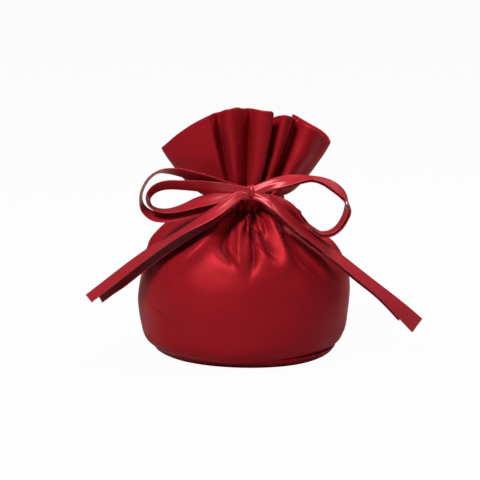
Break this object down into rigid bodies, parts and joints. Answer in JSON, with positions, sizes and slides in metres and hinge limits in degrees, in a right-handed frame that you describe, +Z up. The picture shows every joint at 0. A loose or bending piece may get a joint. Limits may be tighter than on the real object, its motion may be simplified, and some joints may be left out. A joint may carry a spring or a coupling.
{
  "type": "kinchaku drawstring pouch",
  "caption": "round-based kinchaku pouch in deep red satin, gathered in a casing under a pleated ruffle and tied in front with satin ribbons in a bow",
  "frame": {"origin": "on the ground, at the centre of the round base panel, under the axis of the neck", "axes": "+Z up, +X to the right of somebody who faces the bow, the bow on the -Y side"},
  "size_m": [0.1769, 0.107, 0.132],
  "materials": {
    "base_satin": "satin",
    "pouch_satin": "satin",
    "ribbon_front_satin": "satin",
    "ribbon_rear_satin": "satin"
  },
  "bodies": {
    "root": {"base_panel": "base_satin", "pouch_cloth": "pouch_satin", "ribbon_front": "ribbon_front_satin", "ribbon_rear": "ribbon_rear_satin"}
  },
  "joints": []
}
